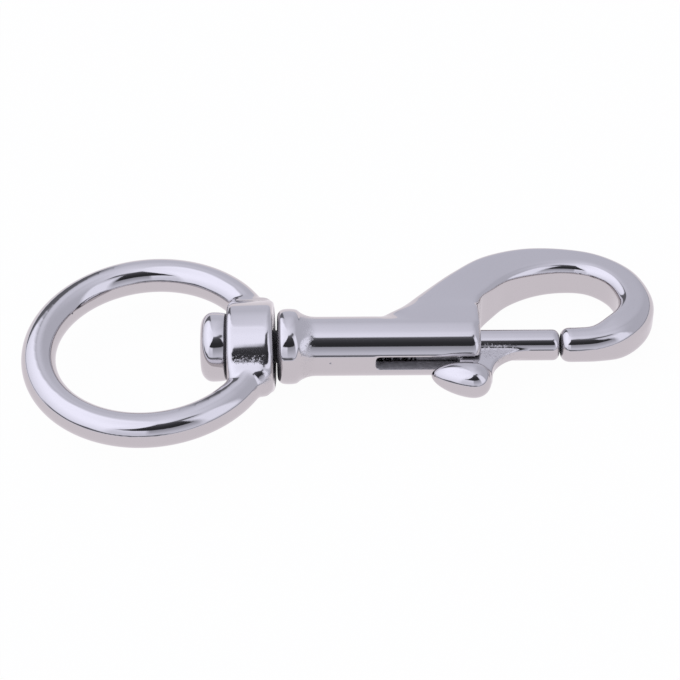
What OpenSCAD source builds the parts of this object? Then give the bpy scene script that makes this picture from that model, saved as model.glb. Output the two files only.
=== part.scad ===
// Swivel-eye bolt snap hook, polished stainless steel.
//
// The barrel's axis is +X, and the hook lies flat in the XY plane: the bow
// opens towards +Y and the thumb knob stands out towards -Y.
// The origin is the middle of the eye. All sizes are in millimetres.

/* [Eye] */
// Inner diameter of the eye
eye_inner_d = 30; // [24:0.5:40]
// Thickness of the eye's round wire
eye_wire_d = 5.45; // [4:0.05:7]
// Diameter of the boss that turns on the swivel stud
boss_d = 14; // [12:0.1:17]
// Length of the boss along the stud
boss_len = 7.3; // [5:0.1:10]
// Radius of the boss's flanks, which run down from its round crown to the ears
flank_r = 20; // [17:0.5:26]
// Radius on the rims of the boss
boss_edge_r = 0.8; // [0.4:0.1:1.2]
// Thickness of the two ears that carry the wire into the boss
ear_d = 5.1; // [4:0.1:6]
// Width of the eye across the two ears
ear_span = 19.8; // [17:0.1:22]
// Radius on the ears' outer edges
ear_edge_r = 1.3; // [0.5:0.1:1.9]
// How deep the ring of the eye runs into the boss
eye_inset = 1.65; // [1.2:0.05:2.2]
// How far the eye is turned about the stud as it lies
eye_turn = 5.5; // [0:0.5:15]
// How far the loose eye droops on the stud as it lies
eye_droop = 2; // [0:0.1:2]

/* [Swivel stud] */
// Diameter of the stud's round head
head_d = 11; // [9:0.1:12]
// Length of the stud's head
head_len = 4.1; // [3:0.1:6]
// Radius on the head's edges
head_edge_r = 1.8; // [0.5:0.1:1.9]
// Running clearance of the boss on the stud, on the radius
stud_clearance = 0.17; // [0.13:0.01:0.3]
// Gap between the head and the boss
head_gap = 0.2; // [0.18:0.01:0.4]
// Gap between the boss and the collar
collar_gap = 0.45; // [0.3:0.05:0.8]
// Length of the stud that is pressed into the barrel
stud_grip = 4.4; // [3:0.1:5]

/* [Barrel] */
// Outer diameter of the barrel
barrel_d = 9.4; // [8.4:0.1:11]
// Length of the body from the collar's face to the barrel's front
barrel_len = 32.1; // [31:0.1:40]
// Diameter of the collar
collar_d = 12; // [11:0.1:13]
// Length of the collar
collar_len = 3.7; // [3:0.1:5]
// Radius on the collar's edges
collar_edge_r = 1; // [0.4:0.1:1.4]
// Length of the hollow neck between collar and barrel
neck_len = 2.2; // [1:0.1:3]
// Radius on the barrel's front edge
front_edge_r = 0.9; // [0.3:0.1:1.2]
// Diameter of the bore that holds the spring and guides the bolt
bore_d = 5.2; // [4.5:0.05:5.6]
// Width of the slot that the thumb stalk slides in
slot_w = 2.3; // [2:0.05:3]

/* [Bolt] */
// Clearance of the bolt in the bore, on the radius
bolt_clearance = 0.14; // [0.05:0.01:0.2]
// Travel of the bolt from closed to fully open
bolt_travel = 12; // [8:0.1:13]
// Length of the bolt behind the thumb stalk
tail_len = 6.7; // [5:0.1:9]
// Radius on the bolt's front edge
bolt_edge_r = 1; // [0.2:0.1:1.6]
// Gap between the closed bolt and the hook's tip
tip_gap = 0.18; // [0.1:0.01:0.4]
// Clearance of the thumb stalk in the slot, on each side
stalk_clearance = 0.12; // [0.08:0.01:0.25]
// Free length of slot behind the stalk when the bolt is fully open
slot_spare = 1; // [0.5:0.1:2]
// Length of the thumb stalk where it joins the knob
stalk_len = 4.8; // [4:0.1:6]
// Radius of the hollow curve in front of the stalk
stalk_front_r = 5.8; // [3:0.1:6.5]

/* [Thumb knob] */
// Length of the knob
knob_len = 9.5; // [7:0.1:11]
// Largest thickness of the knob
knob_d = 5.6; // [4:0.1:6]
// Distance from the barrel's axis to the middle of the knob
knob_reach = 8.7; // [8:0.1:10]
// How far the knob's point is tipped towards the barrel
knob_tilt = 12; // [0:0.5:14]

/* [Hook] */
// Open length between the barrel's front and the hook's tip
mouth = 12.75; // [10:0.05:16]
// Length of the bow from the barrel's front to its far end
bow_len = 28.6; // [26:0.1:34]
// Height of the bow above the barrel's axis
bow_h = 23.2; // [20:0.1:28]
// Width of the arm where it leaves the barrel
arm_w = 12.7; // [11:0.1:14]
// Width of the bow at its highest place
crown_w = 6.9; // [5:0.1:8]
// Width of the bow at its far end
nose_w = 5.6; // [4.5:0.1:7]
// Diameter of the round tip
tip_d = 5.5; // [4.5:0.1:6]
// Thickness of the bow, square to the plane of the hook
bow_t = 6.5; // [5:0.1:7.5]
// Radius on the bow's long edges
bow_edge_r = 1.7; // [0.8:0.1:2.2]
// Radius on the arm's inner edge, where it is flush with the barrel's front
root_edge_r = 0.9; // [0.4:0.1:1.4]
// Radius on the edge of the tip's end
tip_edge_r = 1.4; // [0.3:0.1:1.5]

/* [Spring] */
// Thickness of the spring's wire
wire_d = 0.32; // [0.2:0.01:0.33]
// Number of turns
turns = 14; // [8:1:14]
// Clearance of the spring in the bore, on the radius
spring_clearance = 0.25; // [0.15:0.01:0.4]

/* [Hidden] */

$fn = 96;
steel = [0.72, 0.71, 0.76];
spring_steel = [0.45, 0.45, 0.48];

// Places along the axis, worked forward from the eye's middle.
wire_r = eye_wire_d / 2;
ring_r = eye_inner_d / 2 + wire_r;
boss_x = ring_r - eye_inset;
boss_back = boss_x - boss_len / 2;
boss_front = boss_x + boss_len / 2;
head_face = boss_back - head_gap;
collar_back = boss_front + collar_gap;
barrel_front = collar_back + barrel_len;
barrel_r = barrel_d / 2;
neck_start = collar_back + collar_len;
neck_end = neck_start + neck_len;
bore_r = bore_d / 2;

// The bolt, closed, ends just short of the tip.
tip_x = barrel_front + mouth;
bolt_r = bore_r - bolt_clearance;
bolt_front = tip_x - tip_gap;
knob_front = barrel_front + 1.3;
stalk_back = knob_front - stalk_len;
bolt_back = stalk_back - tail_len;
stalk_w = slot_w - 2 * stalk_clearance;
slot_back = stalk_back - bolt_travel - slot_spare;

// The spring sits between the stud's inner end and the bolt's tail.
stud_end = collar_back + stud_grip;
seat_gap = 0.04;
spring_back = stud_end + seat_gap;
spring_front = bolt_back - seat_gap;
coil_r = bore_r - spring_clearance - wire_d / 2;

// Points of an arc of radius r about [x, y], from angle a to angle b.
function arc(x, y, r, a, b, steps = 6) =
    [for (i = [0 : steps]) let (t = a + (b - a) * i / steps) [x + r * cos(t), y + r * sin(t)]];

// Turns a profile of [along the axis, radius] points into a solid about +X.
module about_x(profile) {
    rotate([0, 90, 0])
        rotate_extrude()
            polygon([for (p = profile) [p[1], p[0]]]);
}

// A straight round bar along +X with rounded edges at both ends.
function bar_profile(x0, x1, r, e0, e1) = concat(
    [[x0, 0]],
    arc(x0 + e0, r - e0, e0, 180, 90),
    arc(x1 - e1, r - e1, e1, 90, 0),
    [[x1, 0]]);

// ---------------------------------------------------------------- swivel eye

// Turns what belongs to the loose eye to the way it lies on the stud.
module as_it_lies() {
    translate([boss_x, 0, 0])
        rotate([eye_turn, 0, 0])
            rotate([0, -eye_droop, 0])
                translate([-boss_x, 0, 0])
                    children();
}

// Outline of the boss square to the stud, drawn in by e all round, as [y, z] points:
// a round crown, flatter flanks, and a small round at the foot of the flanks.
boss_r = boss_d / 2;
crown_from = 60;
foot_r = 2.2;
flank_mid = (boss_r - flank_r) * [cos(crown_from), sin(crown_from)];
foot_y = flank_mid[0] + sqrt(pow(flank_r - foot_r, 2) - pow(flank_mid[1], 2));
foot_from = acos((foot_y - flank_mid[0]) / (flank_r - foot_r));
function boss_quarter(e) = concat(
    arc(0, 0, boss_r - e, 90, crown_from, 4),
    arc(flank_mid[0], flank_mid[1], flank_r - e, crown_from, foot_from, 5),
    arc(foot_y, 0, foot_r - e, foot_from, 0, 4));
function boss_outline(e) =
    [for (q = [[1, 1], [1, -1], [-1, -1], [-1, 1]], i = [0 : 15])
        let (points = boss_quarter(e), p = points[q[0] * q[1] > 0 ? i : 15 - i])
        [p[0] * q[0], p[1] * q[1]]];

// The boss: its outline drawn along the stud, with rounded rims.
module boss() {
    hull()
        for (a = [0 : 30 : 90]) {
            in = boss_edge_r * (1 - sin(a));
            translate([boss_back + in, 0, 0])
                rotate([90, 0, 90])
                    linear_extrude(height = boss_len - 2 * in)
                        polygon(boss_outline(boss_edge_r * (1 - cos(a))));
        }
}

module swivel_eye() {
    ear_r = ear_d / 2;
    ear_inset = 0.05;
    ear_x = boss_front - ear_r - ear_inset;
    // Half the angle, seen from the eye's middle, that the wire leaves open inside the boss.
    ring_end = 17;
    color(steel)
        as_it_lies()
            difference() {
                union() {
                    rotate([0, 0, ring_end])
                        rotate_extrude(angle = 360 - 2 * ring_end, $fn = 144)
                            translate([ring_r, 0])
                                circle(r = wire_r, $fn = 48);
                    boss();
                    translate([ear_x, 0, 0])
                        rotate([0, 0, 90])
                            about_x(bar_profile(-ear_span / 2, ear_span / 2, ear_r, ear_edge_r, ear_edge_r));
                }
                translate([boss_back - ear_d, 0, 0])
                    rotate([0, 90, 0])
                        cylinder(r = bore_r + stud_clearance, h = boss_len + 2 * ear_d);
            }
}

// --------------------------------------------------------------- swivel stud

module swivel_stud() {
    rim_r = 0.4;
    color(steel)
        about_x(concat(
            [[head_face - head_len, 0]],
            arc(head_face - head_len + head_edge_r, head_d / 2 - head_edge_r, head_edge_r, 180, 90),
            arc(head_face - rim_r, head_d / 2 - rim_r, rim_r, 90, 0, 3),
            [[head_face, bore_r], [stud_end, bore_r], [stud_end, 0]]));
}

// ----------------------------------------------------------------- hook body

// Collar, hollow neck and barrel, turned in one piece.
module barrel() {
    neck_rise = (collar_d - barrel_d) / 2;
    edge = collar_edge_r;
    about_x(concat(
        [[collar_back, 0]],
        arc(collar_back + edge, collar_d / 2 - edge, edge, 180, 90),
        arc(neck_start - edge, collar_d / 2 - edge, edge, 90, 30),
        [for (i = [0 : 5]) let (t = i / 5)
            [neck_start + neck_len * t, barrel_r + neck_rise * 0.5 * pow(1 - t, 2)]],
        arc(barrel_front - front_edge_r, barrel_r - front_edge_r, front_edge_r, 90, 0),
        [[barrel_front, 0]]));
}

// Stations along the middle line of the bow, from inside the barrel to the tip:
// [x, y, width, half thickness, inner edge radius, outer edge radius, heading in degrees,
// how many times wider than high the outer edge's rounding is].
// The root spreads back along the barrel in a hollow curve on its outer side.
nose_x = barrel_front + bow_len - nose_w / 2;
crown_y = bow_h - crown_w / 2;
bow_half = bow_t / 2;
edge = bow_edge_r;
tip_r = tip_d / 2;
// Tiny step of the arm's inner wall behind the barrel's front face.
root_step = 0.03;
function bow_x(u) = barrel_front + (nose_x - barrel_front) * u;
function root_x(w) = barrel_front - root_step - w / 2;
stations = [
    [root_x(arm_w + 5.6), barrel_r * 0.04, arm_w + 5.6, barrel_r - 0.06, root_edge_r, 4.5, 90, 2],
    [root_x(arm_w + 5.2), barrel_r * 0.46, arm_w + 5.2, barrel_r - 0.13, root_edge_r, 4.4, 90, 2],
    [root_x(arm_w + 4),   barrel_r * 0.9,  arm_w + 4,   barrel_r - 0.3,  root_edge_r, 4.2, 90, 1.7],
    [root_x(arm_w + 1.8), barrel_r * 1.13, arm_w + 1.8, barrel_r - 0.43, root_edge_r, 3.9, 88, 1.4],
    [root_x(arm_w - 0.3), barrel_r * 1.4,  arm_w - 0.2, barrel_r - 0.62, root_edge_r, 3.5, 84, 1.2],
    [bow_x(-0.205), crown_y * 0.405, arm_w - 2,     bow_half + 0.62, root_edge_r, 2.9, 77, 1.1],
    [bow_x(-0.135), crown_y * 0.52,  arm_w - 3.3,   bow_half + 0.42, root_edge_r, 2.3, 68, 1],
    [bow_x(-0.02),  crown_y * 0.68,  arm_w - 4.3,   bow_half + 0.25, edge - 0.5, edge, 51, 1],
    [bow_x(0.13),   crown_y * 0.86,  crown_w + 1.1, bow_half + 0.1,  edge - 0.1, edge, 33, 1],
    [bow_x(0.34),   crown_y * 0.975, crown_w + 0.3, bow_half,        edge + 0.2, edge, 14, 1],
    [bow_x(0.56),   crown_y,         crown_w - 0.8, bow_half - 0.05, edge + 0.3, edge, -4, 1],
    [bow_x(0.765),  crown_y * 0.94,  nose_w - 0.05, bow_half - 0.1,  edge + 0.2, edge, -27, 1],
    [bow_x(0.928),  crown_y * 0.755, nose_w,        bow_half - 0.1,  edge, edge + 0.2, -57, 1],
    [bow_x(0.996),  crown_y * 0.48,  nose_w + 0.15, bow_half - 0.1,  edge, edge + 0.4, -85, 1],
    [bow_x(0.96),   crown_y * 0.26,  nose_w + 0.3,  bow_half - 0.05, edge, edge + 0.6, -116, 1],
    [bow_x(0.85),   crown_y * 0.095, nose_w + 0.4,  bow_half - 0.1,  edge + 0.2, edge + 0.6, -144, 1],
    [bow_x(0.72),   crown_y * 0.015, tip_d + 0.05,  tip_r + 0.1,  tip_r - 0.1,  tip_r - 0.1,  -164, 1],
    [bow_x(0.6),    0,               tip_d,         tip_r,        tip_r - 0.01, tip_r - 0.01, -177, 1],
    [tip_x + tip_edge_r, 0,          tip_d,         tip_r,        tip_r - 0.01, tip_r - 0.01, -180, 1]];

last_station = len(stations) - 1;
steps_between = 4;

// Smooth curve through the stations, a share t of the way from p1 to p2.
function smooth(p0, p1, p2, p3, t) =
    0.5 * (2 * p1 + (p2 - p0) * t
           + (2 * p0 - 5 * p1 + 4 * p2 - p3) * pow(t, 2)
           + (3 * p1 - p0 - 3 * p2 + p3) * pow(t, 3));
function station(i) = stations[max(0, min(last_station, i))];
function along(i, t) = smooth(station(i - 1), station(i), station(i + 1), station(i + 2), t);

// A rectangle of half sizes w and h with its inner and outer corners rounded,
// as [across, up] points.
corner_steps = 5;
function rounded(w, h, inner, outer, spread = 1) =
    [for (q = [0 : 3], i = [0 : corner_steps])
        let (a = 90 * q + 90 * i / corner_steps,
             is_inner = q == 0 || q == 3,
             e = min(is_inner ? inner : outer, w - 0.01, h - 0.01),
             across = is_inner ? e : min(e * spread, w - 0.01),
             sx = is_inner ? 1 : -1,
             sy = q < 2 ? 1 : -1)
        [sx * (w - across) + across * cos(a), sy * (h - e) + e * sin(a)]];

// One ring of the bow: the section of station s, stood square to its heading.
function ring(s, inset = 0, back = 0) =
    [for (p = rounded(s[2] / 2 - inset, s[3] - inset, s[4] - inset / 2, s[5] - inset / 2, s[7]))
        [s[0] + sin(s[6]) * p[0] + cos(s[6]) * back,
         s[1] - cos(s[6]) * p[0] + sin(s[6]) * back, p[1]]];

bow_rings = concat(
    [for (i = [0 : last_station - 1], k = [0 : steps_between - 1]) ring(along(i, k / steps_between))],
    [for (i = [0 : 4]) let (a = 18 * i)
        ring(station(last_station), tip_edge_r * (1 - cos(a)), tip_edge_r * sin(a))]);

// Joins rings of equal length into one closed solid.
module loft(rings) {
    n = len(rings[0]);
    m = len(rings);
    points = [for (r = rings, p = r) p];
    sides = [for (j = [0 : m - 2], i = [0 : n - 1]) let (k = (i + 1) % n)
        each [[j * n + i, j * n + k, (j + 1) * n + k],
              [j * n + i, (j + 1) * n + k, (j + 1) * n + i]]];
    ends = [[for (i = [n - 1 : -1 : 0]) i], [for (i = [0 : n - 1]) (m - 1) * n + i]];
    polyhedron(points = points, faces = concat(sides, ends), convexity = 6);
}

module slot_cut() {
    corner = 0.5;
    translate([0, 0, -slot_w / 2]) {
        translate([slot_back + corner, -barrel_d, 0])
            cube([barrel_front - slot_back + barrel_d, barrel_d, slot_w]);
        translate([slot_back, -barrel_d, corner])
            cube([2 * corner, barrel_d, slot_w - 2 * corner]);
        for (z = [corner, slot_w - corner])
            translate([slot_back + corner, 0, z])
                rotate([90, 0, 0])
                    cylinder(r = corner, h = barrel_d, $fn = 24);
    }
}

module hook_body() {
    color(steel)
        difference() {
            union() {
                barrel();
                loft(bow_rings);
            }
            translate([collar_back - 1, 0, 0])
                rotate([0, 90, 0])
                    cylinder(r = bore_r, h = barrel_len + 2);
            slot_cut();
        }
}

// ---------------------------------------------------------------------- bolt

// The knob's outline: a blunt point at the back, fullest two thirds forward.
function knob_half(x, back, power) = knob_d / 2 * pow(1 - pow(abs(x) / back, power), 1 / power);
knob_full = knob_len * 0.67;
knob_profile = concat(
    [for (i = [0 : 10]) let (x = -knob_full * cos(9 * i)) [x, knob_half(x, knob_full, 1.75)]],
    [for (i = [1 : 8]) let (x = (knob_len - knob_full) * sin(11.25 * i))
        [x, knob_half(x, knob_len - knob_full, 2.3)]]);

module thumb_stalk() {
    foot_x = knob_front + 0.2;
    linear_extrude(height = stalk_w, center = true)
        polygon(concat(
            [[stalk_back, -bolt_r * 0.4], [stalk_back, -knob_reach],
             [foot_x, -knob_reach], [foot_x, -bolt_r - stalk_front_r]],
            arc(foot_x + stalk_front_r, -bolt_r - stalk_front_r, stalk_front_r, 180, 90, 8),
            [[foot_x + stalk_front_r, -bolt_r * 0.4]]));
}

module bolt() {
    color(steel)
        union() {
            about_x(bar_profile(bolt_back, bolt_front, bolt_r, 0.3, bolt_edge_r));
            thumb_stalk();
            translate([knob_front - (knob_len - knob_full) * cos(knob_tilt), -knob_reach, 0])
                rotate([0, 0, -knob_tilt])
                    about_x(knob_profile);
        }
}

// --------------------------------------------------------------- bolt spring

// How far the coil has risen after a number of turns: the end turns lie closed.
spring_len = spring_front - spring_back - wire_d;
pitch = (spring_len - 2 * wire_d) / (turns - 2);
function coil_rise(turn) =
    turn < 1 ? wire_d * turn
    : turn < turns - 1 ? wire_d + pitch * (turn - 1)
    : spring_len - wire_d * (turns - turn);

module bolt_spring() {
    sides = 6;
    steps = 12;
    rings = [for (i = [0 : steps * turns]) let (
            a = 360 * i / steps,
            x = spring_back + wire_d / 2 + coil_rise(i / steps))
        [for (k = [0 : sides - 1]) let (b = 360 * k / sides, r = coil_r + wire_d / 2 * cos(b))
            [x + wire_d / 2 * sin(b), r * cos(a), r * sin(a)]]];
    color(spring_steel)
        loft(rings);
}

hook_body();
bolt();
bolt_spring();
swivel_eye();
swivel_stud();
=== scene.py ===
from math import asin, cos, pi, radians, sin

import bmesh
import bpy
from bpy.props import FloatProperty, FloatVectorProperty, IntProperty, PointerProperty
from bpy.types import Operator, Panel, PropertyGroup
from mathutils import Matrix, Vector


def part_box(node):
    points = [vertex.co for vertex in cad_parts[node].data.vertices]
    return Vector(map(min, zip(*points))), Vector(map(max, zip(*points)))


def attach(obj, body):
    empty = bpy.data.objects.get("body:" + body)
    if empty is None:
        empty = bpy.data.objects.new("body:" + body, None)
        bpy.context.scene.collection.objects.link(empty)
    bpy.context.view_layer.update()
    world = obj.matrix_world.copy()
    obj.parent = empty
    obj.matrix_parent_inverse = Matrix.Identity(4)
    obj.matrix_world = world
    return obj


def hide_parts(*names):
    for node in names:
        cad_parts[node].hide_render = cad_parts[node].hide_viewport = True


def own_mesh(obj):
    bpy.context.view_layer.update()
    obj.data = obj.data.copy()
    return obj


bl_info = {
    "name": "Swivel snap hook",
    "version": (1, 0, 0),
    "blender": (4, 5, 0),
    "location": "3D View > Sidebar > Snap Hook",
    "description": "Builds a polished swivel-eye bolt snap hook on its packed frame",
    "category": "Add Mesh",
}

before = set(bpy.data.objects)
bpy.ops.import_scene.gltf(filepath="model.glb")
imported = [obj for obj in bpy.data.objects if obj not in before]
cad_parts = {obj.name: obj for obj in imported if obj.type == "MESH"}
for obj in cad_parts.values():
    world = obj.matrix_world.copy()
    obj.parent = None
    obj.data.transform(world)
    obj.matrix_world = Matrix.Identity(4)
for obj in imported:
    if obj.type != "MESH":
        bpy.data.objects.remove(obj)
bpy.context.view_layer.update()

MM = 0.001
HOOK, BOLT, EYE = "hook", "bolt", "eye"

BODY_LO, BODY_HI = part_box("hook_body")
BOLT_LO, BOLT_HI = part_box("bolt")
STUD_LO, STUD_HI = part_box("swivel_stud")
SPRING_LO, SPRING_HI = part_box("bolt_spring")


# ------------------------------------------------------------------ settings

def size(name, value, description):
    """A length property whose default is given in millimetres."""
    return FloatProperty(
        name=name, description=description, default=value * MM, min=0, precision=5, unit="LENGTH")


def turn(name, value, description):
    """An angle property whose default is given in degrees."""
    return FloatProperty(name=name, description=description, default=radians(value), subtype="ANGLE")


def number(name, value, description):
    """A plain number property."""
    return FloatProperty(name=name, description=description, default=value, min=0)


def colour(name, value, description):
    """A colour property."""
    return FloatVectorProperty(
        name=name, description=description, default=value, size=3, min=0, max=2, subtype="COLOR")


class EyeSizes(PropertyGroup):
    """Sizes of the swivel eye."""
    inner_d: size("Inner diameter", 30, "Inner diameter of the eye")
    wire_d: size("Wire", 5.45, "Thickness of the eye's round wire")
    boss_d: size("Boss diameter", 14, "Diameter of the boss that turns on the stud")
    boss_len: size("Boss length", 7.3, "Length of the boss along the stud")
    boss_edge: size("Boss edge", 0.8, "Radius on the boss's edges")
    flank_r: size("Flank radius", 20, "Radius of the boss's flanks below its round crown")
    crown_turn: turn("Crown", 30, "Half the angle of the boss's round crown")
    foot_r: size("Foot radius", 2.2, "Radius at the foot of the boss's flanks")
    ear_d: size("Ear thickness", 5.1, "Thickness of the ears that carry the wire into the boss")
    ear_span: size("Ear span", 19.8, "Width of the eye across the two ears")
    ear_edge: size("Ear edge", 1.8, "Radius on the ears' outer edges")
    inset: size("Inset", 1.65, "How deep the ring runs into the boss")
    hole_d: size("Hole", 5.54, "Diameter of the hole for the stud")
    open_angle: turn("Open angle", 17, "Half the angle that the wire leaves open inside the boss")
    turned: turn("Turned", 5.5, "How far the eye is turned about the stud as it lies")
    droop: turn("Droop", 2, "How far the loose eye droops on the stud as it lies")


class StudSizes(PropertyGroup):
    """Sizes of the swivel stud."""
    head_len: size("Head length", 4.1, "Length of the stud's round head")
    head_edge: size("Head edge", 1.8, "Radius on the head's outer edge")
    head_crown: size("Head crown", 0.22, "How much the head swells at the middle of its length")
    under_edge: size("Under edge", 0.4, "Radius on the edge under the head")
    shank_d: size("Shank", 5.2, "Diameter of the stud's shank")


class BodySizes(PropertyGroup):
    """Sizes of the collar and barrel."""
    barrel_d: size("Barrel diameter", 9.4, "Outer diameter of the barrel")
    barrel_len: size("Barrel length", 32.1, "Length from the collar's face to the barrel's front")
    collar_len: size("Collar length", 3.7, "Length of the collar")
    collar_edge: size("Collar edge", 0.9, "Radius on the collar's edges")
    collar_crown: size("Collar crown", 0.28, "How much the collar swells at the middle of its length")
    neck_len: size("Neck length", 2.2, "Length of the hollow neck behind the barrel")
    front_edge: size("Front edge", 1.2, "Radius on the barrel's front edge")
    bore_d: size("Bore", 5.2, "Diameter of the bore for the spring and bolt")
    slot_w: size("Slot width", 2.3, "Width of the slot for the thumb stalk")
    slot_start: size("Slot start", 15.6, "Distance from the collar's face to the back of the slot")
    slot_corner: size("Slot corner", 0.5, "Radius in the slot's back corners")
    skin: size("Skin step", 0.205, "Spacing of the finished surface's points")


class BowSizes(PropertyGroup):
    """Sizes of the hook's arm and bow."""
    mouth: size("Mouth", 12.75, "Open length between the barrel's front and the tip")
    bow_len: size("Bow length", 28.6, "Length of the bow from the barrel's front to its far end")
    bow_h: size("Bow height", 23.2, "Height of the bow above the barrel's axis")
    arm_w: size("Arm width", 12.7, "Width of the arm where it leaves the barrel")
    crown_w: size("Crown width", 6.9, "Width of the bow at its highest place")
    nose_w: size("Nose width", 5.6, "Width of the bow at its far end")
    tip_d: size("Tip diameter", 5.5, "Diameter of the round tip")
    bow_t: size("Thickness", 6.5, "Thickness of the bow, square to its plane")
    edge: size("Long edges", 1.7, "Radius on the bow's long edges")
    root_edge: size("Root edge", 0.5, "Radius on the arm's inner edge beside the barrel's front")
    root_step: size("Root step", 0.03, "Step of the arm's inner wall behind the barrel's front")
    tip_edge: size("Tip edge", 1.4, "Radius on the edge of the tip's end")


class BoltSizes(PropertyGroup):
    """Sizes of the sliding bolt and its thumb knob."""
    front_edge: size("Front edge", 1, "Radius on the bolt's front edge")
    back_edge: size("Back edge", 0.3, "Radius on the bolt's back edge")
    tail_len: size("Tail", 6.7, "Length of the bolt behind the thumb stalk")
    stalk_len: size("Stalk length", 4.8, "Length of the thumb stalk where it joins the knob")
    stalk_w: size("Stalk width", 2.06, "Width of the thumb stalk")
    hollow_r: size("Hollow", 5.8, "Radius of the hollow curve in front of the stalk")
    stalk_edge: size("Stalk edge", 0.4, "Radius on the long edges of the stalk's hollow")
    knob_len: size("Knob length", 9.5, "Length of the knob")
    knob_d: size("Knob thickness", 5.6, "Largest thickness of the knob")
    knob_reach: size("Knob reach", 8.7, "Distance from the bolt's axis to the middle of the knob")
    knob_tilt: turn("Knob tilt", 12, "How far the knob's point is tipped towards the barrel")
    skin: size("Skin step", 0.125, "Spacing of the finished surface's points")


class SpringSizes(PropertyGroup):
    """Sizes of the bolt's spring."""
    wire_d: size("Wire", 0.32, "Thickness of the spring's wire")
    turns: IntProperty(name="Turns", description="Number of turns of the spring", default=14, min=4)


class FinishSettings(PropertyGroup):
    """Colours and gloss of the steel, and the near-black colour of its painted shade."""
    steel: colour("Steel", (0.62, 0.60, 0.61), "Colour of the polished steel")
    coil: colour("Spring", (0.30, 0.30, 0.32), "Colour of the spring's wire")
    gloss: number("Roughness", 0.06, "Roughness of the polished faces")
    dull: colour("Dull steel", (0.36, 0.35, 0.36), "Colour of the faces that were not polished")
    # Painted shade: a near-black colour put on faces between two pieces, where shade falls.
    painted_shade: colour("Painted shade", (0.05, 0.045, 0.05), "Colour of the faces shut in between two pieces")
    dull_gloss: number("Dull roughness", 0.5, "Roughness of the faces that were not polished")
    grain: number("Grain", 0.0006, "Height in millimetres of the fine grain in the polish")
    cast_depth: number("Cast skin", 0.012, "Height in millimetres of the cast skin in the corners")


class StudioSettings(PropertyGroup):
    """Camera, floor and light."""
    lens: number("Lens", 116.47, "Focal length of the camera in millimetres")
    tilt: turn("Camera tilt", 52, "Turn of the camera up from straight down")
    swing: turn("Camera swing", -0.6, "Turn of the camera about the vertical")
    lean: turn("Lean", 5.47, "Lean of the floor towards the thumb knob, as the hook lies on it")
    pitch: turn("Pitch", 2.15, "Fall of the floor towards the eye, as the hook lies on it")
    floor_size: number("Floor", 1.2, "Side of the square floor in metres")
    floor_glow: number("Floor glow", 0.97, "Share of the floor that shows plain white to the camera")
    floor_white: colour("Floor in the steel", (0.9, 0.85, 0.9), "Colour of the floor in reflections")


class SnapHookSettings(PropertyGroup):
    """Everything that can be changed on the snap hook."""
    eye: PointerProperty(type=EyeSizes)
    stud: PointerProperty(type=StudSizes)
    body: PointerProperty(type=BodySizes)
    bow: PointerProperty(type=BowSizes)
    bolt: PointerProperty(type=BoltSizes)
    spring: PointerProperty(type=SpringSizes)
    finish: PointerProperty(type=FinishSettings)
    studio: PointerProperty(type=StudioSettings)


# ------------------------------------------------------------ modelling tools

ROUND = 144          # sides of a turned piece
CLOSE = 1e-6         # two places nearer than this are the same
EDGE_STEPS = 8       # steps round the edge of a turned piece or of the boss
CORNER_STEPS = 6     # steps round a corner of the slot or of a pad
SIDE_STEPS = 6       # steps along a swelling side
SMOOTHING = 0.5      # how far one pass of smoothing goes
SETTLING = 10        # passes of smoothing on a new skin


def deselect():
    """Leaves no object selected."""
    bpy.ops.object.select_all(action="DESELECT")


def take(obj):
    """Selects one object alone."""
    deselect()
    obj.select_set(True)
    bpy.context.view_layer.objects.active = obj


def settle():
    """Puts the selected object's place in its mesh."""
    bpy.ops.object.transform_apply(location=True, rotation=True, scale=True)


def edit(obj):
    """Selects one object alone and opens it in edit mode with nothing selected."""
    take(obj)
    bpy.ops.object.mode_set(mode="EDIT")
    bpy.ops.mesh.select_all(action="DESELECT")


def primitive(add, **values):
    """Adds a primitive, puts its place in its mesh and opens it in edit mode."""
    deselect()
    add(**values)
    obj = bpy.context.object
    settle()
    edit(obj)
    return obj


def done(obj, name=None):
    """Turns all faces outwards, leaves edit mode and puts the object's place in its mesh."""
    bpy.ops.mesh.select_all(action="SELECT")
    bpy.ops.mesh.normals_make_consistent(inside=False)
    bpy.ops.object.mode_set(mode="OBJECT")
    settle()
    if name:
        obj.name = name
        obj.data.name = name
    return obj


def pick_verts(obj, chosen=lambda p: True, among=slice(None)):
    """Selects the vertices that chosen accepts, among a slice of them in the order of making."""
    bpy.ops.mesh.select_mode(type="VERT")
    bpy.ops.mesh.select_all(action="DESELECT")
    mesh = bmesh.from_edit_mesh(obj.data)
    for v in list(mesh.verts)[among]:
        v.select = chosen(v.co)
    mesh.select_flush(True)
    bmesh.update_edit_mesh(obj.data)


def pick_edges(obj, chosen):
    """Selects the edges whose two ends chosen accepts."""
    bpy.ops.mesh.select_mode(type="EDGE")
    bpy.ops.mesh.select_all(action="DESELECT")
    mesh = bmesh.from_edit_mesh(obj.data)
    for e in mesh.edges:
        e.select = chosen(e.verts[0].co, e.verts[1].co)
    mesh.select_flush_mode()
    bmesh.update_edit_mesh(obj.data)


def at_radius(x, r):
    """A test for edges on the circle of radius r about the X axis at x."""
    def chosen(a, b):
        return all(abs(p.x - x) < CLOSE and abs(Vector((p.y, p.z)).length - r) < CLOSE
                   for p in (a, b))
    return chosen


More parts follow.
